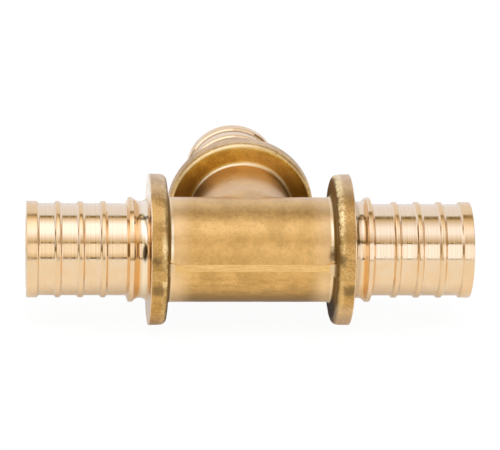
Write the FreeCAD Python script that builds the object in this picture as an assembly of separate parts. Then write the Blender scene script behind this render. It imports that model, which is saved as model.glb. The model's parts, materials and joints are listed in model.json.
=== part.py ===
import FreeCAD, Part
import os
from math import acos, cos, hypot, pi, sin, sqrt, tan

# Brass tee for plastic pipe, one forging turned at its three ends.
# The straight run lies along X, the branch leaves along +Y, and the forging's parting
# plane is Z = 0. The origin is where the two axes cross. Lengths are in millimetres.

# Forged middle
barrel_dia = 27.8           # middle of the run
stub_inset = 0.1            # how far the stub of the branch lies inside the barrel's top
crotch_radius = 2.5         # blend between barrel and stub
body_fillet = 1.3           # barrel or stub into a collar

# Collars, the stops for the sleeves
run_reach = 26.65           # crossing to the machined face of each run collar
branch_reach = 32.5         # crossing to the machined face of the branch collar
collar_dia = 40.0
collar_thickness = 4.75
collar_corner = 1.65        # forged rounding of the edge that faces the middle

# Spigots, measured from the machined face of their collar
spigot_length = 32.1
neck_dia = 25.56            # bottom of the round groove behind the barb
neck_groove_radius = 2.27
barb_dia = 27.7
barb_top = 1.1              # width of the flat top of the barb
barb_front = 0.65           # steep side towards the pipe
root_dia = 24.3
rib_dia = 25.45
rib_count = 3
rib_start = 11.9            # face to the middle of the first rib
rib_pitch = 6.0
rib_top = 1.0
rib_flank = 0.5
end_band = 2.75

# Waterway
run_bore_dia = 20.0
branch_bore_dia = 20.0
mouth_chamfer = 0.6

# Roundings are laid out as short flats between points on their arcs, which keeps the facets few
rounding_flats = 3
groove_flats = 5            # the neck's groove is deeper than a quarter round

# What trimming the flash leaves in the parting plane
tube_land = 2.0             # width of the flat on barrel and stub
rim_land = 3.0              # width of the flat on a collar's rim
trim_corner = 2.0           # corner radius of the trimming tool on a collar
web_radius = 3.2            # flash left in the corner between barrel and collar
web_half_height = 2.1       # half the web's height at the collar
web_overlap = 0.03          # how far the web's round face runs into its neighbours

barrel_radius = barrel_dia / 2
stub_radius = barrel_radius - stub_inset
collar_radius = collar_dia / 2
origin = FreeCAD.Vector(0, 0, 0)
axis_x = FreeCAD.Vector(1, 0, 0)
axis_y = FreeCAD.Vector(0, 1, 0)
axis_z = FreeCAD.Vector(0, 0, 1)


def rounded_path(corners):
    """Points through the corners (x, y, radius), with short flats around each rounded one."""
    points = [FreeCAD.Vector(x, y, 0) for x, y, radius in corners]
    path = []
    for i in range(len(points)):
        radius = corners[i][2]
        if radius > 0:
            back = (points[i - 1] - points[i]).normalize()
            ahead = (points[i + 1] - points[i]).normalize()
            reach = radius / tan(back.getAngle(ahead) / 2)
            centre = points[i] + (back + ahead).normalize() * hypot(radius, reach)
            first = points[i] + back * reach - centre
            last = points[i] + ahead * reach - centre
            sweep = first.getAngle(last)
            for step in range(rounding_flats + 1):
                turn = sweep * step / rounding_flats
                spoke = (first * sin(sweep - turn) + last * sin(turn)) / sin(sweep)
                path.append(centre + spoke)
        else:
            path.append(points[i])
    return path


def closed_face(corners):
    """A flat face in the XY plane inside the rounded outline."""
    path = rounded_path(corners)
    return Part.Face(Part.makePolygon(path + path[:1]))


def turned(corners):
    """A solid turned about X from its half outline."""
    return closed_face(corners).revolve(origin, axis_x, 360)


def collar_outline(reach, tube_radius):
    """Half outline of a collar, from the tube behind it to the machined face."""
    inner_face = reach - collar_thickness
    return [
        (inner_face, tube_radius, body_fillet),
        (inner_face, collar_radius, collar_corner),
        (reach, collar_radius, 0),
    ]


def rib_outline(middle):
    """One rib with sloping flanks on the spigot's root."""
    half_top = rib_top / 2
    half_foot = half_top + rib_flank
    return [
        (middle - half_foot, root_dia / 2, 0),
        (middle - half_top, rib_dia / 2, 0),
        (middle + half_top, rib_dia / 2, 0),
        (middle + half_foot, root_dia / 2, 0),
    ]


def neck_outline(face):
    """The round groove from a collar's face up to the top of the barb."""
    floor = neck_dia / 2
    radius = neck_groove_radius
    last = acos(1 - (barb_dia / 2 - floor) / radius)
    corners = []
    for step in range(groove_flats + 1):
        angle = -pi / 2 + (last + pi / 2) * step / groove_flats
        along = face + radius + radius * sin(angle)
        corners.append((along, floor + radius - radius * cos(angle), 0))
    return corners


def spigot_outline(face):
    """Half outline of a spigot: neck, barb, ribs and end band."""
    end = face + spigot_length
    band = end - end_band
    corners = neck_outline(face)
    barb = corners[-1][0]
    corners += [
        (barb + barb_top, barb_dia / 2, 0),
        (barb + barb_top + barb_front, root_dia / 2, 0),
    ]
    for i in range(rib_count):
        corners += rib_outline(face + rib_start + i * rib_pitch)
    corners += [
        (band - rib_flank, root_dia / 2, 0),
        (band, rib_dia / 2, 0),
        (end, rib_dia / 2, 0),
    ]
    return corners


def towards_branch(shape):
    """Turn something made along +X so that it points along +Y."""
    return shape.rotate(origin, axis_z, 90)


def outer_form():
    """The run and the branch as one solid, with the blend between them."""
    run_end = run_reach + spigot_length
    right = collar_outline(run_reach, barrel_radius) + spigot_outline(run_reach)
    left = [(-x, y, radius) for x, y, radius in reversed(right)]
    run = turned([(-run_end, 0, 0)] + left + right + [(run_end, 0, 0)])
    run.rotate(origin, axis_x, 180)
    branch_end = branch_reach + spigot_length
    arm = collar_outline(branch_reach, stub_radius) + spigot_outline(branch_reach)
    branch = turned([(0, 0, 0), (0, stub_radius, 0)] + arm + [(branch_end, 0, 0)])
    joined = run.fuse(towards_branch(branch)).removeSplitter()
    return joined.makeFillet(crotch_radius, crossing_edges(joined))


def crossing_edges(shape):
    """The edges where the stub of the branch leaves the barrel."""
    edges = []
    for edge in shape.Edges:
        middle = edge.valueAt((edge.FirstParameter + edge.LastParameter) / 2)
        on_barrel = abs(hypot(middle.y, middle.z) - barrel_radius) < 0.01
        on_stub = abs(hypot(middle.x, middle.z) - stub_radius) < 0.01
        if on_barrel and on_stub:
            edges.append(edge)
    return edges


def slab(outline):
    """A trimming tool: the outline in the parting plane, taller than the collars."""
    height = collar_radius + 1
    face = closed_face(outline)
    face.translate(FreeCAD.Vector(0, 0, -height))
    return face.extrude(FreeCAD.Vector(0, 0, 2 * height))


def flat_height(radius, width):
    """How far from the axis a flat of this width lies on a round of this radius."""
    return sqrt(radius ** 2 - (width / 2) ** 2)


def tube_trim(start, stop, tube_radius):
    """Shaves the flat on one side of a tube."""
    flat = flat_height(tube_radius, tube_land)
    clear = tube_radius + 1
    return slab([(start, flat, 0), (stop, flat, 0), (stop, clear, 0), (start, clear, 0)])


def rim_trim(reach):
    """Shaves the flat on one side of a collar's rim and rounds its inner corner."""
    flat = flat_height(collar_radius, rim_land)
    inner_face = reach - collar_thickness - web_overlap
    low = flat - 2 * trim_corner
    clear = collar_radius + 1
    outline = [
        (inner_face, low, 0),
        (inner_face, flat, trim_corner),
        (reach + 1, flat, 0),
        (reach + 1, clear, 0),
        (inner_face - 1, clear, 0),
        (inner_face - 1, low, 0),
    ]
    return slab(outline)


def corner_web(reach, tube_radius):
    """Flash left between a tube and its collar: round in plan and taller at the collar."""
    flat = flat_height(tube_radius, tube_land)
    face = reach - collar_thickness
    tip = face - web_radius
    inside = flat - 1
    deep = face + 1
    plan = [
        (tip, inside, 0),
        (deep, inside, 0),
        (deep, flat + web_radius, 0),
        (face + web_overlap, flat + web_radius, 0),
        (face + web_overlap, flat - web_overlap, web_radius),
        (tip, flat - web_overlap, 0),
    ]
    low = tube_land / 2
    slope = (web_half_height - low) / web_radius
    high = web_half_height + slope * (deep - face)
    side = closed_face([(tip, -low, 0), (deep, -high, 0), (deep, high, 0), (tip, low, 0)])
    side.rotate(origin, axis_x, 90)
    wedge = side.extrude(axis_y * (collar_radius + 1))
    return slab(plan).common(wedge)


def mirrored(shape, axis):
    """The shape and its mirror image across the plane through the origin."""
    return [shape, shape.mirror(origin, axis)]


def beside_every_collar(run_shape, branch_shape):
    """Copies on both sides of the three arms, where the parting plane meets the collars."""
    copies = [towards_branch(shape) for shape in mirrored(branch_shape, axis_y)]
    for shape in mirrored(run_shape, axis_y):
        copies += mirrored(shape, axis_x)
    return copies


def trimmed(forging):
    """The forging after its flash is trimmed off in the parting plane."""
    run_stop = run_reach - collar_thickness - body_fillet
    branch_stop = branch_reach - collar_thickness - body_fillet
    crotch = barrel_radius + crotch_radius
    front = tube_trim(-run_stop, run_stop, barrel_radius).mirror(origin, axis_y)
    back = tube_trim(crotch, run_stop, barrel_radius)
    side = tube_trim(crotch, branch_stop, stub_radius)
    shaves = [front] + mirrored(back, axis_x)
    shaves += [towards_branch(shape) for shape in mirrored(side, axis_y)]
    rims = beside_every_collar(rim_trim(run_reach), rim_trim(branch_reach))
    run_web = corner_web(run_reach, barrel_radius)
    branch_web = corner_web(branch_reach, stub_radius)
    webs = beside_every_collar(run_web, branch_web)
    return forging.cut(shaves + rims).fuse(webs)


def waterway():
    """Straight bore through the run and a bore in from the branch, with chamfered mouths."""
    run_end = run_reach + spigot_length
    branch_end = branch_reach + spigot_length
    run_half = bore_outline(run_end, run_bore_dia / 2)
    run_other = [(-x, y, radius) for x, y, radius in reversed(run_half)]
    run = turned([(-run_end - 1, 0, 0)] + run_other + run_half + [(run_end + 1, 0, 0)])
    branch_half = bore_outline(branch_end, branch_bore_dia / 2)
    branch = turned([(0, 0, 0), (0, branch_bore_dia / 2, 0)] + branch_half + [(branch_end + 1, 0, 0)])
    return [run, towards_branch(branch)]


def bore_outline(end, radius):
    """Half outline of a bore near its mouth."""
    return [
        (end - mouth_chamfer, radius, 0),
        (end, radius + mouth_chamfer, 0),
        (end + 1, radius + mouth_chamfer, 0),
    ]


def tee_body():
    """The whole tee in one piece."""
    return trimmed(outer_form()).cut(waterway()).removeSplitter()


os.makedirs("parts", exist_ok=True)
tee_body().exportStep("parts/tee_body.step")
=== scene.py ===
import json
from math import acos, atan2, cos, hypot, pi, radians, sin, tan

import bmesh
import bpy
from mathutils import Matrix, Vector


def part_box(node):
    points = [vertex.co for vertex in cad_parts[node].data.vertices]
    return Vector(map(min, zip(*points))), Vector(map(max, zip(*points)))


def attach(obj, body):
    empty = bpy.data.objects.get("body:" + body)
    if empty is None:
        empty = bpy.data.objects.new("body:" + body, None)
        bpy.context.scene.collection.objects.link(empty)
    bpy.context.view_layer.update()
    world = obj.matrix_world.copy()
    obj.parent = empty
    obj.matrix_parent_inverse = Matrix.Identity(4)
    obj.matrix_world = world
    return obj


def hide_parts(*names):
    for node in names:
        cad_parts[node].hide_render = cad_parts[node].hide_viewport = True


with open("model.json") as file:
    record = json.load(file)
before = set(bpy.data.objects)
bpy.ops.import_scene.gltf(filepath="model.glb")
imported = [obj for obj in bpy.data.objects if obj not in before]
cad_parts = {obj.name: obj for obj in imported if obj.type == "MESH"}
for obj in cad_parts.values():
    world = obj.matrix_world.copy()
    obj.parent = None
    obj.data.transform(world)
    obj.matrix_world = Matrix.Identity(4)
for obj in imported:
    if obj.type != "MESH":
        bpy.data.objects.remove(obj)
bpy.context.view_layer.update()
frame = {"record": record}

# Tee body
# One brass forging with a straight run and a branch at a right angle to it. Its three
# spigots and the outer faces of the collars are turned on a lathe, the waterway is bored,
# and the middle keeps the skin that the forging dies left. The flash round it is trimmed.

mounts = {mount["name"]: mount["dims"] for mount in frame["record"]["mounts"]}
run_end, branch_end, collar_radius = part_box("tee_body")[1]
bore_radius = mounts["run_bore"]["r_mm"] / 1000
rib_radius = mounts["right_spigot"]["r_mm"] / 1000
end_band = mounts["right_spigot"]["length_mm"] / 1000

barrel_radius = 0.0139
crotch_radius = 0.0025
body_fillet = 0.0013                    # barrel or stub into a collar
collar_thickness = 0.00475
collar_corner = 0.00165
spigot_length = 0.0321
neck_radius = 0.01278                   # bottom of the round groove behind the barb
neck_groove_radius = 0.00227
barb_radius = 0.01385
barb_top = 0.0011
barb_front = 0.00065
root_radius = 0.01215
rib_count = 3
rib_start = 0.0119
rib_pitch = 0.006
rib_top = 0.001
rib_flank = 0.0005
mouth_chamfer = 0.0006
tool_edge = 0.00012                     # edges that the lathe tool leaves on a spigot
face_edge = 0.0002                      # edges of the machined faces
run_face = run_end - spigot_length
branch_face = branch_end - spigot_length

# Steps of the mesh, and extra rings that let the skin of a collar be uneven
spin_steps = 176
neck_groove_steps = 14
corner_segments = 8
edge_segments = 2
inner_face_rings = (0.0163, 0.0174)
rim_rings = (0.0021, 0.0011)
hair = 1e-6                             # points closer than this are one point
speck = 0.001                           # a plane that is merged into one point

# The trimmed flats, two steps of the spin wide on either side of the parting plane
flat_angle = 2 * 2 * pi / spin_steps
tube_flat = barrel_radius * cos(flat_angle)
tube_flat_half = barrel_radius * sin(flat_angle)
rim_flat = -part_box("tee_body")[0][1]
rim_flat_half = collar_radius * sin(flat_angle)


def select_only(mesh, wanted, kind="verts"):
    """In edit mode, select the verts, edges or faces for which wanted(item) is true."""
    bpy.ops.mesh.select_all(action="DESELECT")
    bpy.ops.mesh.select_mode(type={"verts": "VERT", "edges": "EDGE", "faces": "FACE"}[kind])
    shape = bmesh.from_edit_mesh(mesh)
    for item in getattr(shape, kind):
        if wanted(item):
            item.select_set(True)
    shape.select_flush_mode()
    bmesh.update_edit_mesh(mesh)


def pick(*items):
    """Select these objects and no others; the last one becomes the active one."""
    bpy.ops.object.select_all(action="DESELECT")
    for item in items:
        item.select_set(True)
    bpy.context.view_layer.objects.active = items[-1]


def apply_modifier(item, modifier):
    """Make a modifier's result the object's own mesh."""
    bpy.context.view_layer.objects.active = item
    bpy.ops.object.modifier_apply(modifier=modifier.name)


def face_outwards():
    """In edit mode, turn all faces outwards."""
    bpy.ops.mesh.select_all(action="SELECT")
    bpy.ops.mesh.normals_make_consistent(inside=False)


def drawn_outline(name, places):
    """A new object, left in edit mode, whose edges are drawn point by point through the places."""
    bpy.ops.mesh.primitive_plane_add(size=speck)
    outline = bpy.context.object
    outline.name = name
    bpy.ops.object.mode_set(mode="EDIT")
    bpy.ops.mesh.select_all(action="SELECT")
    bpy.ops.mesh.merge(type="CENTER")
    bpy.ops.transform.translate(value=places[0])
    for last, place in zip(places, places[1:]):
        bpy.ops.mesh.extrude_region_move(TRANSFORM_OT_translate={"value": place - last})
    return outline


def neck_outline(face):
    """The round groove from a collar's face up to the top of the barb, as (along, radius, rounding)."""
    last = acos(1 - (barb_radius - neck_radius) / neck_groove_radius)
    corners = []
    for step in range(neck_groove_steps + 1):
        angle = -pi / 2 + (last + pi / 2) * step / neck_groove_steps
        along = face + neck_groove_radius * (1 + sin(angle))
        corners.append((along, neck_radius + neck_groove_radius * (1 - cos(angle)), 0))
    return corners


def rib_outline(middle):
    """One rib with sloping flanks."""
    top = rib_top / 2
    foot = top + rib_flank
    return [
        (middle - foot, root_radius, tool_edge),
        (middle - top, rib_radius, tool_edge),
        (middle + top, rib_radius, tool_edge),
        (middle + foot, root_radius, tool_edge),
    ]


def arm_outline(face):
    """Half outline of an arm as (along, radius, rounding), from the middle out and back in the bore."""
    end = face + spigot_length
    band = end - end_band
    inner_face = face - collar_thickness
    corners = [(0, barrel_radius, 0), (inner_face, barrel_radius, body_fillet)]
    corners += [(inner_face, radius, 0) for radius in inner_face_rings]
    corners.append((inner_face, collar_radius, collar_corner))
    corners += [(face - depth, collar_radius, 0) for depth in rim_rings]
    corners.append((face, collar_radius, face_edge))
    corners += neck_outline(face)
    barb = corners[-1][0]
    corners.append((barb + barb_top, barb_radius, tool_edge))
    corners.append((barb + barb_top + barb_front, root_radius, tool_edge))
    for i in range(rib_count):
        corners += rib_outline(face + rib_start + i * rib_pitch)
    corners.append((band - rib_flank, root_radius, tool_edge))
    corners.append((band, rib_radius, tool_edge))
    corners.append((end, rib_radius, face_edge))
    corners.append((end, bore_radius + mouth_chamfer, tool_edge))
    corners.append((end - mouth_chamfer, bore_radius, tool_edge))
    corners.append((0, bore_radius, 0))
    return corners


def turned_arm(name, face):
    """An arm along +X: its outline drawn, its corners rounded, then spun about X."""
    corners = arm_outline(face)
    places = [Vector((along, radius, 0)) for along, radius, rounding in corners]
    arm = drawn_outline(name, places)
    for place, (along, radius, rounding) in zip(places, corners):
        if rounding > 0:
            segments = corner_segments if rounding > face_edge else edge_segments
            select_only(arm.data, lambda vert: (vert.co - place).length < hair)
            bpy.ops.mesh.bevel(offset=rounding, segments=segments, affect="VERTICES")
    bpy.ops.mesh.select_all(action="SELECT")
    bpy.ops.mesh.spin(steps=spin_steps, angle=2 * pi, center=(0, 0, 0), axis=(1, 0, 0))
    bpy.ops.mesh.select_all(action="SELECT")
    bpy.ops.mesh.remove_doubles(threshold=hair)
    bpy.ops.object.mode_set(mode="OBJECT")
    return arm


def clear_of_other_arm(arm, wanted):
    """Cut the arm on the two planes where the run and branch cross, and delete the wanted faces."""
    pick(arm)
    bpy.ops.object.mode_set(mode="EDIT")
    for side in (-1, 1):
        select_only(arm.data, lambda face: face.calc_center_median().y > 0, "faces")
        bpy.ops.mesh.bisect(plane_co=(0, 0, 0), plane_no=(side, -1, 0), threshold=hair / 10)
    select_only(arm.data, lambda face: wanted(face.calc_center_median()), "faces")
    bpy.ops.mesh.delete(type="FACE")
    bpy.ops.object.mode_set(mode="OBJECT")


def crossed_arms():
    """The run and the branch cut back to their crossing and welded into one closed shell."""
    run = turned_arm("brass_tee", run_face)
    mirror = run.modifiers.new("other end", "MIRROR")
    mirror.use_axis = (True, False, False)
    mirror.merge_threshold = hair
    apply_modifier(run, mirror)
    branch = turned_arm("branch", branch_face)
    branch.rotation_euler.z = pi / 2
    bpy.ops.object.transform_apply(location=False, rotation=True, scale=False)
    clear_of_other_arm(run, lambda middle: middle.y > abs(middle.x))
    clear_of_other_arm(branch, lambda middle: middle.y < abs(middle.x))
    pick(branch, run)
    bpy.ops.object.join()
    bpy.ops.object.mode_set(mode="EDIT")
    bpy.ops.mesh.select_all(action="SELECT")
    bpy.ops.mesh.remove_doubles(threshold=hair)
    face_outwards()
    bpy.ops.object.mode_set(mode="OBJECT")
    return run


outside = 0.93 * barrel_radius          # what lies further out is on the outside of barrel or stub
crotch_segments = 10


def in_the_crotch(edge):
    """Whether an edge lies where the outsides of run and branch meet."""
    return all(
        abs(vert.co.y - abs(vert.co.x)) < hair and hypot(vert.co.y, vert.co.z) > outside
        for vert in edge.verts
    )


def blend_crotch(tee):
    """Round the inner edge between run and branch as a ball of the crotch's radius would."""
    weights = tee.data.attributes.new("bevel_weight_edge", "FLOAT", "EDGE")
    shape = bmesh.new()
    shape.from_mesh(tee.data)
    for edge in shape.edges:
        if in_the_crotch(edge):
            middle = (edge.verts[0].co + edge.verts[1].co) / 2
            lean = acos(sin(atan2(middle.z, middle.y)) ** 2)
            weights.data[edge.index].value = tan(lean / 2)
    shape.free()
    bevel = tee.modifiers.new("crotch", "BEVEL")
    bevel.limit_method = "WEIGHT"
    bevel.width = crotch_radius
    bevel.segments = crotch_segments
    bevel.use_clamp_overlap = False
    apply_modifier(tee, bevel)


flat_reach = 1.2 * flat_angle           # past the flat's last row of verts, before the next row
clear_of_fillet = 0.9                   # a flat stops this share of a fillet's radius short of its end


def press_flat(tee, axis, level, wanted):
    """Move the wanted verts onto the plane where the axis, x or y, has this level."""
    select_only(tee.data, lambda vert: wanted(vert.co))
    squeeze = Vector((1, 1, 1))
    centre = Vector((0, 0, 0))
    setattr(squeeze, axis, 0)
    setattr(centre, axis, level)
    bpy.ops.transform.resize(value=squeeze, center_override=centre)


def trim_flash(tee):
    """Shave the flash in the parting plane: a narrow flat along each tube and across each collar's rim."""
    tube_half = barrel_radius * sin(flat_reach)
    rim_half = collar_radius * sin(flat_reach)
    run_collar = run_face - collar_thickness
    branch_collar = branch_face - collar_thickness
    run_stop = run_collar - clear_of_fillet * body_fillet
    branch_stop = branch_collar - clear_of_fillet * body_fillet
    crotch = barrel_radius + clear_of_fillet * crotch_radius
    low = tube_flat - hair
    high = barrel_radius + hair
    rim_low = rim_flat - hair
    bpy.context.view_layer.objects.active = tee
    bpy.ops.object.mode_set(mode="EDIT")
    press_flat(tee, "y", -tube_flat, lambda co: (
        abs(co.z) < tube_half and abs(co.x) < run_stop and low < -co.y < high))
    press_flat(tee, "y", tube_flat, lambda co: (
        abs(co.z) < tube_half and crotch < abs(co.x) < run_stop and low < co.y < high))
    for side in (-1, 1):
        press_flat(tee, "x", side * tube_flat, lambda co: (
            abs(co.z) < tube_half and crotch < co.y < branch_stop and low < side * co.x < high))
        press_flat(tee, "x", side * rim_flat, lambda co: (
            abs(co.z) < rim_half and co.y > branch_collar and side * co.x > rim_low))
        press_flat(tee, "y", side * rim_flat, lambda co: (
            abs(co.z) < rim_half and abs(co.x) > run_collar and rim_low < side * co.y
            and co.y < branch_collar))
    bpy.ops.object.mode_set(mode="OBJECT")


web_radius = 0.0032
web_half_low = 0.001                    # half the web's height at its tip
web_half_high = 0.0021                  # and at the collar
web_curve = 2.2                         # how late along the web it gets taller, as a power
web_steps = 12
web_into_collar = 0.0004
web_into_tube = 0.0016


def corner_web(reach):
    """Flash left in the corner of tube and collar on the +X +Y side: round in plan, taller at the collar."""
    start = reach - collar_thickness - web_radius
    edge = []
    for step in range(web_steps + 1):
        turn = (pi / 2) * step / web_steps
        along = web_radius * sin(turn)
        high = web_half_low + (web_half_high - web_half_low) * (along / web_radius) ** web_curve
        edge.append(Vector((start + along, tube_flat + web_radius * (1 - cos(turn)), high)))
    edge.append(edge[-1] + Vector((web_into_collar, 0, 0)))
    web = drawn_outline("web", edge)
    bpy.ops.mesh.select_all(action="SELECT")
    bpy.ops.mesh.duplicate()
    bpy.ops.transform.resize(value=(1, 1, -1), center_override=(0, 0, 0))
    bpy.ops.mesh.select_all(action="SELECT")
    bpy.ops.mesh.bridge_edge_loops()
    bpy.ops.mesh.select_all(action="SELECT")
    bpy.ops.mesh.extrude_region_move(
        TRANSFORM_OT_translate={"value": (0, -web_into_tube - web_radius, 0)})
    select_only(web.data, lambda vert: vert.co.y < tube_flat - hair)
    bpy.ops.transform.resize(value=(1, 0, 1), center_override=(0, tube_flat - web_into_tube, 0))
    face_outwards()
    bpy.ops.object.mode_set(mode="OBJECT")
    return web


def add_webs(tee):
    """Join a web into each of the six corners where the parting plane meets a collar."""
    run_web = corner_web(run_face)
    side_web = corner_web(branch_face)
    side_web.rotation_euler.z = pi / 2
    webs = [run_web, side_web]
    for web, scales in ((run_web, ((-1, 1), (1, -1), (-1, -1))), (side_web, ((1, -1),))):
        for scale_x, scale_y in scales:
            twin = web.copy()
            twin.data = web.data.copy()
            bpy.context.collection.objects.link(twin)
            twin.scale = (scale_x, scale_y, 1)
            webs.append(twin)
    pick(*reversed(webs))
    bpy.ops.object.transform_apply(location=False, rotation=True, scale=True)
    bpy.ops.object.join()
    bpy.ops.object.mode_set(mode="EDIT")
    face_outwards()
    bpy.ops.object.mode_set(mode="OBJECT")
    union = tee.modifiers.new("webs", "BOOLEAN")
    union.operation = "UNION"
    union.solver = "EXACT"
    union.object = run_web
    apply_modifier(tee, union)
    bpy.data.objects.remove(run_web)


skin_pitch = 0.0012
stub_start = 0.0152                     # from here outwards the skin is cut across the branch
stub_half_width = 1.25 * barrel_radius  # and no further than this from the branch's axis


def ring_the_skin(tee):
    """Cut the long forged faces of barrel and stub into short ones, so that their skin can be uneven."""
    run_stop = run_face - collar_thickness - body_fillet
    branch_stop = branch_face - collar_thickness - body_fillet

    def on_barrel(face):
        x, y, z = face.calc_center_median()
        return abs(x) < run_stop and y < stub_start and hypot(y, z) > outside

    def on_stub(face):
        x, y, z = face.calc_center_median()
        return stub_start < y < branch_stop and abs(x) < stub_half_width and hypot(x, z) > outside

    bpy.ops.object.mode_set(mode="EDIT")
    for i in range(int(2 * run_stop / skin_pitch)):
        level = -run_stop + (i + 0.5) * skin_pitch
        select_only(tee.data, on_barrel, "faces")
        bpy.ops.mesh.bisect(plane_co=(level, 0, 0), plane_no=(1, 0, 0), threshold=hair)
    for i in range(int((branch_stop - stub_start) / skin_pitch) + 1):
        level = stub_start + (i + 0.5) * skin_pitch
        select_only(tee.data, on_stub, "faces")
        bpy.ops.mesh.bisect(plane_co=(0, level, 0), plane_no=(0, 1, 0), threshold=hair)
    bpy.ops.object.mode_set(mode="OBJECT")


def place_on_arm(co):
    """Which arm a point of the tee belongs to: (how far out, how far from the axis, the arm's face)."""
    if co.y > abs(co.x):
        return co.y, hypot(co.x, co.z), branch_face
    return abs(co.x), hypot(co.y, co.z), run_face


def aside_of_arm(co):
    """How far to the side of its arm's axis a point lies, in the parting plane."""
    return abs(co.x) if co.y > abs(co.x) else abs(co.y)


flat_limit = 1.005 * barrel_radius      # the flats end where a fillet rises past this radius


def on_tube_flat(co):
    """Whether a point lies on a shaved flat of barrel or stub."""
    along, radius, face = place_on_arm(co)
    in_plane = abs(co.z) < tube_flat_half + hair
    return in_plane and radius < flat_limit and along < face - collar_thickness


def mark_groups(tee):
    """Vertex groups for the forged skin and for the forged corners of the collars."""
    skin = tee.vertex_groups.new(name="forged skin")
    corners = tee.vertex_groups.new(name="collar corners")
    for vert in tee.data.vertices:
        along, radius, face = place_on_arm(vert.co)
        if radius > outside and along < face - face_edge and not on_tube_flat(vert.co):
            skin.add([vert.index], 1, "REPLACE")
        if radius > collar_radius - collar_corner and along < face - collar_thickness / 2:
            corners.add([vert.index], 1, "REPLACE")


def roughen(tee, group, size, depth, kind):
    """Push the verts of a group inwards by up to the depth, in clouds of the size."""
    texture = bpy.data.textures.new(group, "CLOUDS")
    texture.noise_scale = size
    texture.noise_basis = kind
    dents = tee.modifiers.new(group, "DISPLACE")
    dents.texture = texture
    dents.texture_coords = "LOCAL"
    dents.vertex_group = group
    dents.strength = depth
    dents.mid_level = 1
    apply_modifier(tee, dents)


crease_angle = radians(28)


def crease_flats(tee):
    """Smooth the shading, but keep the edges of the trimmed flats sharp."""
    rows = (tube_flat_half, rim_flat_half)
    pick(tee)
    bpy.ops.object.shade_smooth_by_angle(angle=crease_angle)
    bpy.ops.object.mode_set(mode="EDIT")
    select_only(tee.data, lambda edge: any(
        all(abs(abs(vert.co.z) - row) < 2 * hair for vert in edge.verts) for row in rows), "edges")
    bpy.ops.mesh.mark_sharp()
    bpy.ops.object.mode_set(mode="OBJECT")
    even = tee.modifiers.new("even normals", "WEIGHTED_NORMAL")
    even.keep_sharp = True
    apply_modifier(tee, even)


tee = crossed_arms()
blend_crotch(tee)
trim_flash(tee)
add_webs(tee)
ring_the_skin(tee)
mark_groups(tee)
roughen(tee, "forged skin", size=0.0035, depth=0.00007, kind="BLENDER_ORIGINAL")
roughen(tee, "collar corners", size=0.0011, depth=0.00012, kind="IMPROVED_PERLIN")
crease_flats(tee)

# Shader nodes stand in columns in the editor, in the order in which they are made
nodes_in_column = 12
node_spacing = 200


def node(tree, kind, **settings):
    """A shader node with its settings."""
    made = tree.nodes.new(kind)
    column, row = divmod(len(tree.nodes), nodes_in_column)
    made.location = (-node_spacing * (column + 1), -node_spacing * row)
    for name, value in settings.items():
        setattr(made, name, value)
    return made


def feed(tree, socket, value):
    """Give a socket a link, a number, a vector or a colour."""
    if isinstance(value, bpy.types.NodeSocket):
        tree.links.new(value, socket)
    elif socket.type == "RGBA":
        socket.default_value = (*value, 1)
    else:
        socket.default_value = value


def maths(tree, operation, *values):
    """A Math node; gives its output."""
    made = node(tree, "ShaderNodeMath", operation=operation)
    for socket, value in zip(made.inputs, values):
        feed(tree, socket, value)
    return made.outputs[0]


def vector_maths(tree, operation, first, second, output):
    """A Vector Math node; gives the named output."""
    made = node(tree, "ShaderNodeVectorMath", operation=operation)
    feed(tree, made.inputs[0], first)
    feed(tree, made.inputs[1], second)
    return made.outputs[output]


def split(tree, vector):
    """The X, Y and Z of a vector."""
    made = node(tree, "ShaderNodeSeparateXYZ")
    feed(tree, made.inputs[0], vector)
    return made.outputs


def fade(tree, value, start, stop, before=0.0, after=1.0):
    """Runs smoothly from one share, before, to another, after, while the value runs from start to stop."""
    made = node(tree, "ShaderNodeMapRange", interpolation_type="SMOOTHSTEP")
    limits = {"Value": value, "From Min": start, "From Max": stop, "To Min": before, "To Max": after}
    for name, limit in limits.items():
        feed(tree, made.inputs[name], limit)
    return made.outputs[0]


def blend(tree, share, first, second):
    """A colour between the first and the second, by the share of the second."""
    made = node(tree, "ShaderNodeMix", data_type="RGBA")
    for name, value in (("Factor", share), ("A", first), ("B", second)):
        feed(tree, next(item for item in made.inputs if item.name == name and item.enabled), value)
    return next(item for item in made.outputs if item.enabled)


def arm_group():
    """Node group for a point's place: out from the crossing, away from the arm's axis, behind its face."""
    tree = bpy.data.node_groups.new("place on arm", "ShaderNodeTree")
    for name in ("Along", "Radius", "Depth"):
        tree.interface.new_socket(name, in_out="OUTPUT", socket_type="NodeSocketFloat")
    end = node(tree, "NodeGroupOutput")
    x, y, z = split(tree, node(tree, "ShaderNodeTexCoord").outputs["Object"])
    out = maths(tree, "ABSOLUTE", x)
    on_branch = maths(tree, "GREATER_THAN", y, out)
    on_run = maths(tree, "SUBTRACT", 1.0, on_branch)
    along = maths(tree, "MULTIPLY_ADD", y, on_branch, maths(tree, "MULTIPLY", out, on_run))
    across = maths(tree, "MULTIPLY_ADD", x, on_branch, maths(tree, "MULTIPLY", y, on_run))
    square = maths(tree, "MULTIPLY_ADD", z, z, maths(tree, "MULTIPLY", across, across))
    arm_face = maths(tree, "MULTIPLY_ADD", on_branch, branch_face - run_face, run_face)
    tree.links.new(along, end.inputs["Along"])
    tree.links.new(maths(tree, "SQRT", square), end.inputs["Radius"])
    tree.links.new(maths(tree, "SUBTRACT", arm_face, along), end.inputs["Depth"])
    return tree


arm_places = arm_group()


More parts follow.
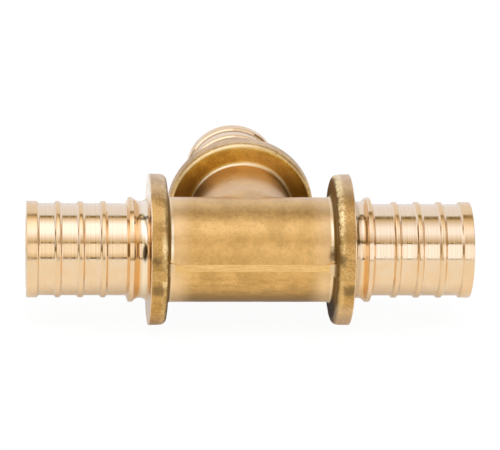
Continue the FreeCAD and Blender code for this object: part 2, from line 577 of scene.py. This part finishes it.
class Finish:
    """A brass finish in the making: its material, its marks and its colour so far.

    A mark is a value that changes over the tee, kept under a name. The first ones are places:
    here, x, y and z on the tee, and along, radius and depth on the arm that the point is on.
    Depth counts from the arm's machined face inwards, so it is negative on a spigot.
    """

    def __init__(self, name):
        self.material = bpy.data.materials.new(name)
        self.material.use_nodes = True
        self.tree = self.material.node_tree
        self.shader = self.tree.nodes["Principled BSDF"]
        self.shader.inputs["Metallic"].default_value = 1
        here = node(self.tree, "ShaderNodeTexCoord").outputs["Object"]
        arm = node(self.tree, "ShaderNodeGroup", node_tree=arm_places)
        self.marks = {"here": here}
        self.marks.update(zip("xyz", split(self.tree, here)))
        self.marks.update(zip(("along", "radius", "depth"), arm.outputs))

    def squeezed(self, scale):
        """The place on the tee with its axes scaled."""
        made = node(self.tree, "ShaderNodeMapping")
        feed(self.tree, made.inputs["Vector"], self.marks["here"])
        feed(self.tree, made.inputs["Scale"], scale)
        return made.outputs[0]

    def clouds(self, name, size, detail, rough=0.5, squeeze=None):
        """Keep clouds of about this size in metres as a mark."""
        made = node(self.tree, "ShaderNodeTexNoise")
        made.inputs["Scale"].default_value = 1 / size
        made.inputs["Detail"].default_value = detail
        made.inputs["Roughness"].default_value = rough
        place = self.squeezed(squeeze) if squeeze else self.marks["here"]
        self.tree.links.new(place, made.inputs["Vector"])
        self.marks[name] = made.outputs[0]

    def work_out(self, name, operation, *values):
        """Keep what a Math node makes of numbers and other marks as a mark."""
        self.marks[name] = maths(self.tree, operation, *(self.marks.get(value, value) for value in values))

    def mask(self, *parts):
        """The product of marks, each a name alone or a name with fade's start, stop, before and after."""
        shares = []
        for part in parts:
            if isinstance(part, str):
                shares.append(self.marks[part])
            else:
                name, *limits = part
                shares.append(fade(self.tree, self.marks[name], *limits))
        product = shares[0]
        for share in shares[1:]:
            product = maths(self.tree, "MULTIPLY", product, share)
        return product

    def mark(self, name, *parts):
        """Keep a mask as a mark."""
        self.marks[name] = self.mask(*parts)

    def between(self, first, second, *parts):
        """A colour that goes from the first to the second through a mask."""
        return blend(self.tree, self.mask(*parts), first, second)

    def layer(self, name, colour, *parts):
        """Lay a colour over the finish through a mask."""
        self.colour = blend(self.tree, self.mask(*parts), self.colour, colour)
        self.colour.node.label = name

    def drive(self, socket, value):
        """Let a mark or an output set one of the shader's sockets."""
        self.tree.links.new(self.marks.get(value, value), self.shader.inputs[socket])

    def bump(self, height, strength, distance):
        """Let a mark raise the surface by up to the distance."""
        made = node(self.tree, "ShaderNodeBump")
        made.inputs["Strength"].default_value = strength
        made.inputs["Distance"].default_value = distance
        self.tree.links.new(self.marks[height], made.inputs["Height"])
        self.drive("Normal", made.outputs[0])


# Turned and bored faces. The lathe leaves rings of three widths, and the bore is duller.
turned_dark = (0.855, 0.642, 0.408)
turned_light = (0.878, 0.662, 0.423)
# Colours of the neck grooves are painted light: a highlight on the left spigot, shade on the right one
left_neck_highlight = (0.98, 0.84, 0.62)
right_neck_shade = (0.56, 0.37, 0.19)
ring_widths = {"fine": 0.00012, "visible": 0.0004, "broad": 0.0016}
rougher_ribs = 0.07
rougher_bore = 0.25

# Dark spots of painted dark reflection in the neck grooves of the run, as (place, squeeze, size, share)
groove_dark_spots = (
    ((-0.0280, -0.0128, 0.0038), (1, 0.3, 0.3), 0.0009, 0.93),
    ((-0.0283, -0.0067, 0.0114), (0.35, 1, 1), 0.0009, 0.75),
    ((0.0285, -0.0066, 0.0115), (0.35, 1, 1), 0.0009, 0.6),
    ((0.0283, -0.0114, 0.0066), (0.35, 1, 1), 0.0008, 0.6),
)
dark_spot_core = 0.45                        # share of a spot's size that is fully dark


def lathe_rings(brass):
    """Keep rings round each arm's axis as marks, one for each width."""
    brass.work_out("travel", "ADD", "along", "radius")
    for name, width in ring_widths.items():
        ring = node(brass.tree, "ShaderNodeTexNoise", noise_dimensions="1D")
        ring.inputs["Scale"].default_value = 1 / width
        ring.inputs["Detail"].default_value = 1
        brass.tree.links.new(brass.marks["travel"], ring.inputs["W"])
        brass.marks[name] = ring.outputs[0]


def darken_neck_grooves(brass):
    """Lay the dark spots of painted dark reflection over the neck grooves."""
    for spot, squeeze, size, share in groove_dark_spots:
        centre = [part * scale for part, scale in zip(spot, squeeze)]
        brass.marks["away"] = vector_maths(
            brass.tree, "DISTANCE", brass.squeezed(squeeze), centre, "Value")
        # Painted dark reflection, not dirt
        brass.layer("dark_spot", (0.07, 0.04, 0.015), ("away", dark_spot_core * size, size, share, 0.0))


def turned_brass():
    """Bright brass as the lathe leaves it, with rings of fine lines round each arm's axis, and painted
    highlights, shade and reflections in places.
    """
    brass = Finish("turned_brass")
    lathe_rings(brass)
    brass.colour = brass.between(turned_dark, turned_light, ("visible", 0.35, 0.65))
    brass.mark("on_rib", ("depth", -0.0047, -0.0044, 1.0, 0.0), ("radius", 0.0124, 0.0126))
    # Painted reflection: a warm tint on the ribs, strongest on their top side
    brass.layer("ribs", (0.84, 0.56, 0.28), "on_rib", ("z", 0.008, 0.0105, 0.3, 1.0))
    # Painted light: a pale painted highlight in the left neck groove and a brown painted shade in the right
    # one
    neck = brass.between(left_neck_highlight, right_neck_shade, ("x", -0.001, 0.001))
    brass.layer("neck groove", neck, ("depth", -0.0024, -0.0017, 0.0, 0.65),
                ("radius", 0.0130, 0.0138, 1.0, 0.0), ("radius", 0.0112, 0.0118))
    # Painted reflection: warm patches on the lower side, where the spigots mirror the table
    brass.clouds("warm_reflection_patches", size=0.0045, detail=2)
    brass.layer("blush on the lower side", (0.87, 0.58, 0.31),
                ("warm_reflection_patches", 0.45, 0.62, 0.0, 0.4), ("z", 0.0, 0.0018, 1.0, 0.0))
    # Dark lathe streaks are real turning marks, but they are painted only on the band that mirrors the soft
    # boxes and fade towards the top: partly painted shade
    brass.layer("turning streaks", (0.58, 0.38, 0.17), ("visible", 0.38, 0.60, 0.30, 0.0),
                ("z", 0.0016, 0.0026), ("z", 0.0050, 0.0108, 1.0, 0.3))
    # Painted reflection: an orange tint on the barb's flank, on its lower half only
    brass.layer("flank of the barb", (0.90, 0.53, 0.17), ("depth", -0.0040, -0.0036),
                ("depth", -0.0027, -0.0022, 1.0, 0.0), ("z", 0.0014, 0.0026, 0.55, 0.0))
    darken_neck_grooves(brass)
    brass.mark("in_bore", ("radius", 0.0101, 0.0104, 1.0, 0.0))
    brass.layer("bore", (0.86, 0.56, 0.21), "in_bore")
    brass.drive("Base Color", brass.colour)
    brass.drive("Metallic", brass.mask(("in_bore", 0.0, 1.0, 1.0, 0.72)))
    brass.work_out("rings", "ADD", "broad", "visible")
    brass.mark("sheen", ("rings", 0.70, 1.30, 0.06, 0.19))
    brass.work_out("sheen", "MULTIPLY_ADD", "on_rib", rougher_ribs, "sheen")
    brass.work_out("sheen", "MULTIPLY_ADD", "in_bore", rougher_bore, "sheen")
    brass.drive("Roughness", "sheen")
    brass.work_out("ridges", "ADD", "fine", "visible")
    brass.bump("ridges", strength=0.4, distance=0.00001)
    return brass.material


# Forged faces. Their colours and the strength of what is worked out from several marks.
forged_dark = (0.65, 0.37, 0.102)
forged_light = (0.79, 0.465, 0.143)
light_gold = (0.70, 0.41, 0.065)
dark_gold = (0.52, 0.285, 0.04)
left_pocket = (0.30, 0.165, 0.035)
right_pocket = (0.20, 0.105, 0.012)
patchiness = {"broad": 0.3, "mottle": 0.3, "speckle": 0.4}
least_handled = 0.24
left_corner_shift = -0.0001             # where the dull face ends, on the left collar
stub_corner_shift = 0.0005              # and on the branch's
dullest_and_darkest = 0.95
most_golden = 0.85
edge_raggedness = 0.0022                # how far the mottling moves the worn edge
rougher_in_shade = 0.25
rougher_where_dull = 0.2
less_metal_in_shade = -0.8
coat_roughness = 0.35


def forged_skin(brass):
    """The skin all over: mottled, spotted, streaked low on the barrel, with bright flecks and dark grain."""
    brass.clouds("broad", size=0.006, detail=3)
    brass.clouds("mottle", size=0.0013, detail=5, rough=0.65)
    brass.clouds("speckle", size=0.00045, detail=3, rough=0.65)
    brass.clouds("grain", size=0.00026, detail=2, rough=0.6)
    brass.clouds("streaks", size=0.0016, detail=4, rough=0.6, squeeze=(0.3, 1, 1))
    brass.marks["patchy"] = 0.0
    for name, share in patchiness.items():
        brass.work_out("patchy", "MULTIPLY_ADD", name, share, "patchy")
    brass.colour = brass.between(forged_dark, forged_light, ("broad", 0.35, 0.65))
    brass.layer("spots", (0.50, 0.285, 0.085), ("mottle", 0.34, 0.52, 0.4, 0.0))
    brass.layer("streaks", (0.47, 0.265, 0.075),
                ("streaks", 0.38, 0.56, 1.0, 0.0), ("z", -0.004, -0.001, 0.5, 0.12))
    brass.layer("flecks", (0.98, 0.64, 0.27), ("speckle", 0.52, 0.72, 0.0, 0.35))
    brass.layer("grain", (0.42, 0.235, 0.065), ("grain", 0.34, 0.5, 0.32, 0.0))


def forged_tubes(brass):
    """Barrel and stub: a painted dark band below the top on the front, painted shade underneath, and painted
    highlights beside the crotch and at the ends.
    """
    brass.mark("on_tube", ("radius", 0.0152, 0.0164, 1.0, 0.0))
    brass.mark("under", ("z", -0.0115, -0.0048, 0.95, 0.0))
    brass.work_out("aside", "ABSOLUTE", "x")
    # Painted dark reflection: a brown band just below the top of barrel and stub, on the front side only
    brass.layer("brown band", (0.40, 0.22, 0.06), ("z", 0.0105, 0.0120), ("z", 0.0130, 0.0138, 1.0, 0.0),
                ("y", -0.002, 0.0, 1.0, 0.0), ("mottle", 0.35, 0.6, 0.46, 0.22))
    # Painted highlight: paler brass on barrel and stub beside the crotch
    brass.layer("beside the crotch", (1.0, 0.76, 0.48),
                ("y", 0.0145, 0.0195, 0.4, 0.0), ("y", 0.004, 0.010), "on_tube")
    # Painted shade: barrel and stub darker towards the bottom, where they mirror the shadowed table
    brass.layer("underside", (0.36, 0.205, 0.055), "under", "on_tube")
    # Painted highlight: paler brass at the ends of the barrel beside the collars, most of all low down
    brass.layer("ends of the barrel", (1.0, 0.70, 0.37),
                ("aside", 0.0145, 0.0205), ("z", -0.005, 0.0, 0.80, 0.4), "on_tube")


def forged_rims(brass):
    """The collars' rims: grimy in patches, and browned by handling, most of all on the left one."""
    brass.mark("on_rim", ("radius", 0.0175, 0.0193))
    brass.mark("on_left", ("x", -0.001, 0.001, 1.0, 0.0))
    brass.layer("grime", (0.34, 0.18, 0.045), ("patchy", 0.44, 0.54, 0.66, 0.0), "on_rim")
    brass.mark("below_top", ("z", 0.014, 0.018, 0.18, 0.0))
    brass.work_out("handled", "MULTIPLY_ADD", "on_left", "below_top", least_handled)
    brass.layer("handling", (0.43, 0.235, 0.05), "handled", "on_rim")


def forged_corners(brass):
    """Inside the corners of the collars: duller and painted dark as shade on the run, golden on the branch,
    with painted shade low down.
    """
    brass.mark("on_stub", ("y", 0.0205, 0.0235))
    brass.work_out("corner", "MULTIPLY_ADD", "on_left", left_corner_shift, "depth")
    brass.work_out("corner", "MULTIPLY_ADD", "on_stub", stub_corner_shift, "corner")
    brass.mark("inner", ("depth", 0.0036, 0.0046), ("corner", 0.0051, 0.0054, 1.0, 0.0))
    # Painted shade: the inner faces of the run's collars are painted dark, as well as made duller
    brass.work_out("off_stub", "MULTIPLY_ADD", "on_stub", -dullest_and_darkest, dullest_and_darkest)
    brass.mark("dull_and_painted_dark", "inner", "off_stub")
    brass.layer("dull face", (0.19, 0.10, 0.012), "dull_and_painted_dark")
    brass.work_out("golden", "MULTIPLY", "on_stub", most_golden)
    gold = brass.between(light_gold, dark_gold, ("patchy", 0.44, 0.54, 1.0, 0.0))
    brass.layer("golden face", gold, "inner", "golden", ("radius", 0.0188, 0.0192, 1.0, 0.2))
    brass.mark("shaded", "dull_and_painted_dark", ("z", -0.0125, -0.0068, 0.95, 0.0))
    brass.layer("shade", (0.03, 0.018, 0.008), "shaded")


def forged_fillets(brass):
    """The fillets at the collars get a painted glint, and the pockets beside the stub get painted shade."""
    brass.mark("run_glint", ("z", 0.0095, 0.0125, 0.9, 0.25), ("z", 0.0015, 0.0055, 0.3, 1.0))
    brass.mark("stub_glint", "on_stub", ("x", 0.0, 0.006, 0.7, 0.35))
    brass.work_out("glint", "MAXIMUM", "run_glint", "stub_glint")
    # Painted highlight: a glint on the fillets
    brass.layer("fillet", (1.0, 0.86, 0.58), "glint", ("corner", 0.0052, 0.0055),
                ("corner", 0.0057, 0.0062, 1.0, 0.0), ("radius", 0.0150, 0.0153, 1.0, 0.0))
    brass.work_out("from_plane", "ABSOLUTE", "z")
    # Painted shade in the pockets beside the stub
    pocket = brass.between(left_pocket, right_pocket, ("x", 0.009, 0.016))
    brass.layer("pocket", pocket, ("from_plane", 0.006, 0.0145, 0.95, 0.0), ("y", 0.015, 0.021),
                ("radius", 0.0188, 0.0196, 1.0, 0.0))


def worn_edges(brass):
    """The collars' inner edges are rubbed bright, in flakes, and painted brighter where they face the light;
    the rims and the branch collar's lip get painted highlights.
    """
    brass.work_out("on_right", "SUBTRACT", 1.0, "on_left")
    brass.mark("low_right", ("z", -0.0115, -0.0075, 0.3, 0.0), "on_right")
    brass.mark("top", ("z", 0.0165, 0.0195, 0.0, 0.2))
    brass.work_out("crown", "MAXIMUM", "low_right", "top")
    # Painted highlight: a pale tint on top of the rims and low on the right collar's rim
    brass.layer("crown", (0.92, 0.72, 0.50), "on_rim", "crown")
    # Rubbed edges are real wear; how strongly they show at each height on each side is painted highlight
    brass.mark("right_wear", ("z", 0.005, 0.009, 0.3, 1.0))
    brass.mark("left_wear", ("z", 0.008, 0.011, 1.0, 0.3), ("z", -0.0045, -0.002, 0.35, 1.0))
    brass.work_out("more_on_left", "SUBTRACT", "left_wear", "right_wear")
    brass.work_out("wear", "MULTIPLY_ADD", "more_on_left", "on_left", "right_wear")
    brass.mark("worn_off", "on_left", ("depth", 0.0040, 0.0045))
    brass.work_out("kept", "SUBTRACT", 1.0, "worn_off")
    brass.work_out("torn", "MULTIPLY_ADD", "mottle", edge_raggedness, "radius")
    brass.layer("worn edge", (1.0, 0.76, 0.36), "wear", "kept", ("torn", 0.0201, 0.0205),
                ("depth", 0.0024, 0.0033), ("patchy", 0.45, 0.55, 0.15, 0.8), ("y", 0.020, 0.024, 1.0, 0.3))
    # Painted highlight along the lip of the branch collar's inner edge
    brass.layer("lip of the branch collar", (1.0, 0.79, 0.43), "on_stub", ("x", -0.001, 0.006, 0.8, 0.3),
                ("radius", 0.0188, 0.0191), ("radius", 0.0193, 0.0197, 1.0, 0.0), ("depth", 0.0030, 0.0034))


# Brown stains on the rims of the run's collars and in the right one's corner, as (place, size)
stains = (
    ((-0.0252, -0.0196, 0.0041), 0.0018),
    ((-0.0247, -0.0196, -0.0041), 0.0026),
    ((0.0226, -0.0194, 0.0046), 0.0023),
    ((0.0252, -0.0196, -0.0041), 0.0024),
    ((0.0212, -0.0138, 0.0047), 0.0018),
    ((0.0212, -0.0139, 0.0030), 0.0018),
)
stain_raggedness = 0.003                # how far the mottling moves a stain's edge
stain_edge = 0.0015                     # what it moves the edge by on average
stain_core = 0.3                        # share of a stain's size that is fully brown


def stained_collars(brass):
    """Lay the stains over the forging."""
    for spot, size in stains:
        brass.marks["away"] = vector_maths(brass.tree, "DISTANCE", brass.marks["here"], spot, "Value")
        brass.work_out("ragged", "MULTIPLY_ADD", "mottle", stain_raggedness, "away")
        start, stop = stain_edge + stain_core * size, stain_edge + size
        brass.layer("stain", (0.20, 0.115, 0.035), ("ragged", start, stop, 0.8, 0.0))


def forged_brass():
    """Satin brass as the die leaves it: fine grain, mottled, stained brown on the collars, with painted
    highlights, shade and reflections in places.
    """
    brass = Finish("forged_brass")
    forged_skin(brass)
    forged_tubes(brass)
    forged_rims(brass)
    forged_corners(brass)
    forged_fillets(brass)
    worn_edges(brass)
    stained_collars(brass)
    brass.drive("Base Color", brass.colour)
    brass.mark("satin", ("mottle", 0.3, 0.7, 0.33, 0.40))
    brass.work_out("satin", "MULTIPLY_ADD", "shaded", rougher_in_shade, "satin")
    brass.work_out("satin", "MULTIPLY_ADD", "dull_and_painted_dark", rougher_where_dull, "satin")
    brass.drive("Roughness", "satin")
    brass.mark("metal", ("dull_and_painted_dark", 0.45, 0.9, 1.0, 0.85))
    brass.work_out("metal", "MULTIPLY_ADD", "shaded", less_metal_in_shade, "metal")
    brass.drive("Metallic", "metal")
    brass.work_out("bare", "MAXIMUM", "inner", "under")
    brass.drive("Coat Weight", brass.mask(("bare", 0.0, 0.9, 0.35, 0.0)))
    brass.shader.inputs["Coat Roughness"].default_value = coat_roughness
    brass.work_out("pits", "ADD", "grain", "speckle")
    brass.bump("pits", strength=0.35, distance=0.00006)
    return brass.material


# Trimmed faces: the flats, whose scratches run along them, and the round faces of the webs.
trimmed_dark = (0.785, 0.485, 0.17)
trimmed_light = (0.905, 0.585, 0.23)
scratch_squeeze = (0.07, 0.07, 1)
web_brightness = 0.85
rougher_webs = 0.25


def trimmed_brass():
    """Brass where the flash was sheared off: a little brighter, with fine scratches along the flat."""
    brass = Finish("trimmed_brass")
    brass.clouds("drag", size=0.00028, detail=3, squeeze=scratch_squeeze)
    brass.clouds("mottle", size=0.002, detail=3)
    brass.clouds("speckle", size=0.0006, detail=4, rough=0.65)
    brass.colour = brass.between(trimmed_dark, trimmed_light, ("drag", 0.38, 0.6))
    brass.layer("wear", (0.66, 0.39, 0.125), ("mottle", 0.4, 0.6, 0.0, 0.2))
    brass.mark("on_web", ("radius", 0.0141, 0.0146), ("radius", 0.0172, 0.0182, 1.0, 0.0))
    brass.work_out("bright_web", "MULTIPLY", "on_web", web_brightness)
    # The webs' round faces are painted pale: partly the fresh sheared brass, partly painted highlight
    brass.layer("webs", (1.0, 0.80, 0.50), "bright_web")
    # Painted shade where the webs meet a collar, on the front side only
    brass.layer("webs beside a collar", (0.17, 0.095, 0.02), "on_web",
                ("depth", 0.0049, 0.0054, 0.9, 0.0), ("y", -0.002, 0.0, 1.0, 0.0))
    brass.layer("dirt on the rims", (0.50, 0.29, 0.09), ("radius", 0.0188, 0.0193),
                ("speckle", 0.38, 0.6, 0.95, 0.4))
    brass.drive("Base Color", brass.colour)
    brass.drive("Metallic", brass.mask(("on_web", 0.0, 1.0, 1.0, 0.4)))
    brass.mark("smooth", ("drag", 0.3, 0.7, 0.34, 0.25))
    brass.work_out("smooth", "MULTIPLY_ADD", "on_web", rougher_webs, "smooth")
    brass.drive("Roughness", "smooth")
    brass.bump("drag", strength=0.35, distance=0.00003)
    return brass.material


# Which faces have which finish
forged, turned, trimmed = 0, 1, 2       # places in the tee's list of materials
nearly = 0.98                           # a size counts as reached from this share of it
turned_margin = 0.00015                 # how far the broken edge of a turned face reaches
web_edge_tilt = 0.3                     # the trimmed face of a web stands steeper than this


def finish_of(face):
    """Which finish a face of the tee has, by its place."""
    along, radius, arm_face = place_on_arm(face.center)
    depth = arm_face - along
    if depth < turned_margin or nearly * radius < bore_radius:
        return turned
    from_plane = abs(face.center.z)
    across = aside_of_arm(face.center)
    if from_plane < tube_flat_half and across > nearly * barrel_radius and depth > collar_thickness:
        return trimmed
    if from_plane < rim_flat_half and across > nearly * collar_radius and depth < collar_thickness:
        return trimmed
    beside_collar = nearly * collar_thickness < depth < collar_thickness + web_radius
    in_corner = across > barrel_radius and radius < barrel_radius + web_radius
    upright = abs(face.normal.z) < web_edge_tilt and from_plane < web_half_high
    return trimmed if beside_collar and in_corner and upright else forged


tee.data.materials.clear()
for finish in (forged_brass(), turned_brass(), trimmed_brass()):
    tee.data.materials.append(finish)
for face in tee.data.polygons:
    face.material_index = finish_of(face)
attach(tee, "root")
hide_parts("tee_body")

# Floor
# A plain white table top of matt paper, as wide as any view needs. It is not part of the tee,
# which lies on it with the rims of its collars.

floor_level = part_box("tee_body")[0][2]
table_width = 8
table_cuts = 4
paper_white = 0.9
paper_roughness = 0.9
glow_strength = 1.02
glow_to_camera = 0.94                   # share of glow that the camera sees: white, with a faint shadow
glow_to_brass = 0.42                    # share that the brass mirrors

bpy.ops.object.select_all(action="DESELECT")
bpy.ops.mesh.primitive_grid_add(
    size=table_width, x_subdivisions=table_cuts, y_subdivisions=table_cuts, location=(0, 0, floor_level))
floor = bpy.context.object
floor.name = "floor"
bpy.ops.object.transform_apply(location=True, rotation=False, scale=False)
white = bpy.data.materials.new("white_floor")
white.use_nodes = True
tree = white.node_tree
paper = tree.nodes["Principled BSDF"]
paper.inputs["Base Color"].default_value = (paper_white, paper_white, paper_white, 1)
paper.inputs["Roughness"].default_value = paper_roughness
paper.inputs["Specular IOR Level"].default_value = 0
glow = node(tree, "ShaderNodeEmission")
glow.inputs["Strength"].default_value = glow_strength
ray = node(tree, "ShaderNodeLightPath").outputs
direct = maths(tree, "MULTIPLY", ray["Is Camera Ray"], glow_to_camera)
mix = node(tree, "ShaderNodeMixShader")
feed(tree, mix.inputs[0], maths(tree, "MULTIPLY_ADD", ray["Is Glossy Ray"], glow_to_brass, direct))
feed(tree, mix.inputs[1], paper.outputs[0])
feed(tree, mix.inputs[2], glow.outputs[0])
feed(tree, tree.nodes["Material Output"].inputs["Surface"], mix.outputs[0])
floor.data.materials.append(white)

# Black card
# A matt black card lies on the table in front of the tee, where the camera doesn't see it. The
# polished spigots show it as a thin dark line.

card_size = (3, 1, 0.001)
card_distance = 0.9
card_black = 0.02
card_roughness = 0.9

bpy.ops.object.select_all(action="DESELECT")
bpy.ops.mesh.primitive_cube_add(size=1, location=(0, -card_distance, floor_level + card_size[2] / 2))
card = bpy.context.object
card.name = "black_card"
card.scale = card_size
bpy.ops.object.transform_apply(location=True, rotation=False, scale=True)
black = bpy.data.materials.new("black_card")
black.use_nodes = True
ink = black.node_tree.nodes["Principled BSDF"]
ink.inputs["Base Color"].default_value = (card_black, card_black, card_black, 1)
ink.inputs["Roughness"].default_value = card_roughness
card.data.materials.append(black)
card.visible_camera = False

# Studio
# Soft boxes hang in a row above and in front of the table, parallel to the run. The dark
# gaps between them draw the thin dark lines along the spigots.

box_distance = 0.5
cool = (0.88, 1.0, 1.34)
nearly_plain = (0.96, 1.0, 1.08)
plain = (1.0, 1.0, 1.0)
warm_edge = (0.32, 0.23, 0.08)
warm_foot = (0.66, 0.54, 0.36)

# What a soft box shows from its low edge to its high edge, as (place, colour) pairs
top_left_profile = ((0, warm_edge), (0.38, plain), (0.66, plain), (1, warm_edge))
top_right_profile = ((0, warm_edge), (0.38, plain), (0.56, plain), (1, warm_edge))
front_left_profile = ((0, warm_foot), (0.38, plain))
even_profile = ((0, plain), (1, plain))


def soft_box(name, angles, sides, strength, colour, profile):
    """A flat lamp along the run, between two angles above the front horizon and two places on X."""
    low_angle, high_angle = angles
    left, right = sides
    middle = radians((low_angle + high_angle) / 2)
    lamp = bpy.data.lights.new(name, "AREA")
    lamp.shape = "RECTANGLE"
    lamp.size = right - left
    lamp.size_y = 2 * box_distance * tan(radians(high_angle - low_angle) / 2)
    lamp.color = colour
    lamp.energy = strength * pi * lamp.size * lamp.size_y
    lamp.use_nodes = True
    tree = lamp.node_tree
    upwards = split(tree, node(tree, "ShaderNodeNewGeometry").outputs["Parametric"])["Y"]
    ramp = node(tree, "ShaderNodeValToRGB")
    stops = ramp.color_ramp.elements
    while len(stops) < len(profile):
        stops.new(1)
    for stop, (place, shade) in zip(stops, profile):
        stop.position = place
        stop.color = (*shade, 1)
    tree.links.new(upwards, ramp.inputs[0])
    tree.links.new(ramp.outputs[0], tree.nodes["Emission"].inputs["Color"])
    box = bpy.data.objects.new(name, lamp)
    bpy.context.collection.objects.link(box)
    box.location = ((left + right) / 2, -box_distance * cos(middle), box_distance * sin(middle))
    box.rotation_euler = (pi / 2 - middle, 0, 0)
    box.visible_camera = False
    box.visible_diffuse = False


soft_box("top_left_box", angles=(37.5, 106), sides=(-1.5, 0.045), strength=1.36,
         colour=cool, profile=top_left_profile)
soft_box("top_right_box", angles=(37.5, 103), sides=(0.055, 0.45), strength=1.1,
         colour=cool, profile=top_right_profile)
soft_box("front_left_box", angles=(1.5, 34.5), sides=(-0.45, 0.045), strength=0.93,
         colour=nearly_plain, profile=front_left_profile)
soft_box("front_right_box", angles=(-1.0, 34.5), sides=(0.055, 1.5), strength=1.2,
         colour=cool, profile=even_profile)

# The brass mirrors a room that is bright behind the tee and high up beside it, and dim and warm
# elsewhere. The camera sees it plain white.
dim_brown = (0.28, 0.215, 0.12)
cool_white = (0.93, 1.0, 1.22)
behind_normal = (0, 0.927, -0.375)
raised_normal = (0, 0.574, 0.819)
behind_edge = (0.0, 0.08)
raised_edge = (0.0, 0.06)
side_edge = (0.93, 0.97, 0.0, 0.5)
light_on_matt = 0.4                     # share of the room's light that falls on matt surfaces

world = bpy.data.worlds.new("white_room")
world.use_nodes = True
bpy.context.scene.world = world
tree = world.node_tree
room = tree.nodes["Background"]
direction = node(tree, "ShaderNodeTexCoord").outputs["Generated"]
behind = fade(tree, vector_maths(tree, "DOT_PRODUCT", direction, behind_normal, "Value"), *behind_edge)
raised = fade(tree, vector_maths(tree, "DOT_PRODUCT", direction, raised_normal, "Value"), *raised_edge)
beside = fade(tree, maths(tree, "ABSOLUTE", split(tree, direction)["X"]), *side_edge)
bright = maths(tree, "MAXIMUM", behind, maths(tree, "MULTIPLY", beside, raised))
walls = blend(tree, bright, dim_brown, cool_white)
ray = node(tree, "ShaderNodeLightPath").outputs
feed(tree, room.inputs["Color"], blend(tree, ray["Is Camera Ray"], walls, plain))
feed(tree, room.inputs["Strength"], fade(tree, ray["Is Diffuse Ray"], 0.0, 1.0, 1.0, light_on_matt))

# A wide lamp overhead lights the table and softens the tee's shadow; the brass doesn't mirror it
fill_size = (2.4, 0.9)
fill_energy = 18
fill_forward = 0.27
fill_height = 1.0

fill = bpy.data.lights.new("fill_lamp", "AREA")
fill.shape = "RECTANGLE"
fill.size, fill.size_y = fill_size
fill.energy = fill_energy
fill_lamp = bpy.data.objects.new("fill_lamp", fill)
bpy.context.collection.objects.link(fill_lamp)
fill_lamp.location = (0, -fill_forward, fill_height)
fill_lamp.rotation_euler = (atan2(fill_forward, fill_height), 0, 0)
fill_lamp.visible_camera = False
fill_lamp.visible_glossy = False

# Camera
# It stands in front of the run, a little to its left, and looks down on it through a long lens.
# Its place, angles and lens are those with which the tee's outline lies on the photograph's.

camera_place = (-0.0755601, -0.8662704, 0.3307652)
camera_angles = (69.5638, -1.7674, -4.3406)

camera_data = bpy.data.cameras.new("camera")
camera_data.lens = 252.995
camera_data.sensor_width = 36
camera_data.clip_start = 0.05
camera_data.clip_end = 20
camera = bpy.data.objects.new("camera", camera_data)
bpy.context.collection.objects.link(camera)
camera.location = camera_place
camera.rotation_euler = [radians(angle) for angle in camera_angles]
bpy.context.scene.camera = camera
bpy.context.scene.view_settings.view_transform = "Standard"
